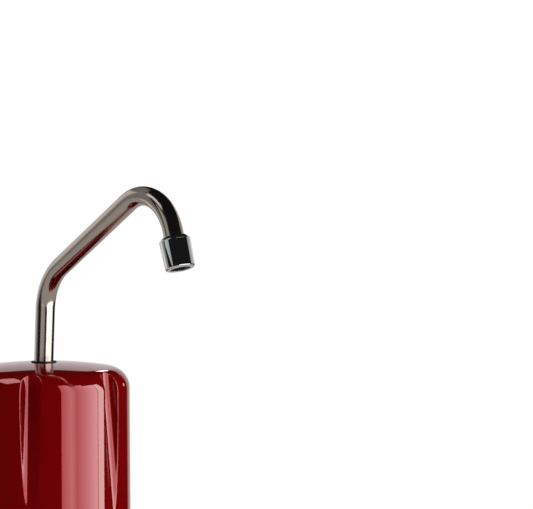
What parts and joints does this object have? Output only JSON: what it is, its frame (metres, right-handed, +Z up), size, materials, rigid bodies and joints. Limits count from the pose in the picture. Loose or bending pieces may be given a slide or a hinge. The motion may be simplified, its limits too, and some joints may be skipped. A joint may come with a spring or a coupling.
{
  "type": "countertop water filter",
  "caption": "Countertop drinking-water filter: gloss red domed housing with finger flutes, screwed on a base, and a bent swivelling steel spout with an aerator.",
  "frame": {"origin": "on the counter, on the axis of the housing and the spout stem", "axes": "+Z up along the housing; -Y the front, away from the supply tube; +X to the right seen from the front"},
  "size_m": [0.12, 0.2079, 0.4166],
  "materials": {
    "red_gloss": "moulded gloss, dark red",
    "red_gloss_base": "moulded gloss, dark red",
    "black_rubber": "smooth",
    "foot_rubber": "matt",
    "white_plastic": "semi-gloss",
    "grey_plastic": "semi-gloss",
    "spring_steel": "bright",
    "cartridge_white": "semi-gloss",
    "filter_felt": "felted",
    "copper_zinc": "granular",
    "carbon": "granular",
    "mineral": "granular",
    "black_plastic": "satin",
    "brass": "machined",
    "spout_steel": "fine satin, nearly polished",
    "bright_chrome": "mirror"
  },
  "bodies": {
    "base": {"base_body": "red_gloss_base", "rubber_foot_1": "foot_rubber", "rubber_foot_2": "foot_rubber", "rubber_foot_3": "foot_rubber", "rubber_foot_4": "foot_rubber", "inlet_elbow": "white_plastic", "inlet_o_ring": "black_rubber", "inlet_grab_ring": "spring_steel", "inlet_stem_washer": "black_rubber", "cartridge_bottom_cap": "cartridge_white", "cartridge_top_cap": "cartridge_white", "cartridge_shell": "cartridge_white", "cartridge_seat_ring": "black_rubber", "cartridge_top_gasket": "black_rubber", "lower_sediment_pad": "filter_felt", "middle_pad": "filter_felt", "upper_sediment_pad": "filter_felt", "copper_zinc_media": "copper_zinc", "carbon_media": "carbon", "mineral_media": "mineral"},
    "seal": {"housing_o_ring": "black_rubber"},
    "housing": {"housing_shell": "red_gloss", "spout_bush": "black_plastic", "spout_slip_washer": "black_plastic"},
    "spout": {"spout_tube": "spout_steel", "spout_ferrule": "brass", "spout_o_ring_lower": "black_rubber", "spout_o_ring_upper": "black_rubber", "aerator_sleeve": "bright_chrome", "aerator_adapter": "brass", "aerator_washer": "black_rubber", "aerator_screen": "spring_steel", "aerator_insert": "black_plastic"},
    "collet": {"inlet_collet": "grey_plastic"}
  },
  "joints": [
    {"name": "housing_lift", "type": "slide", "parent": "base", "child": "seal", "axis": [0, 0, 1], "range_m": [0, 0.015]},
    {"name": "housing_unscrew", "type": "hinge", "parent": "seal", "child": "housing", "pos_m": [0, 0, 0.038], "axis": [0, 0, 1], "range_deg": [0, 1080]},
    {"name": "spout_swivel", "type": "hinge", "parent": "housing", "child": "spout", "pos_m": [0, 0, 0.285], "axis": [0, 0, 1], "continuous": true},
    {"name": "collet_press", "type": "slide", "parent": "base", "child": "collet", "axis": [0, -1, 0], "range_m": [0, 0.0015]}
  ],
  "couplings": [
    {"joint": "housing_lift", "follows": "housing_unscrew", "m_per_rad": 0.00079577}
  ]
}
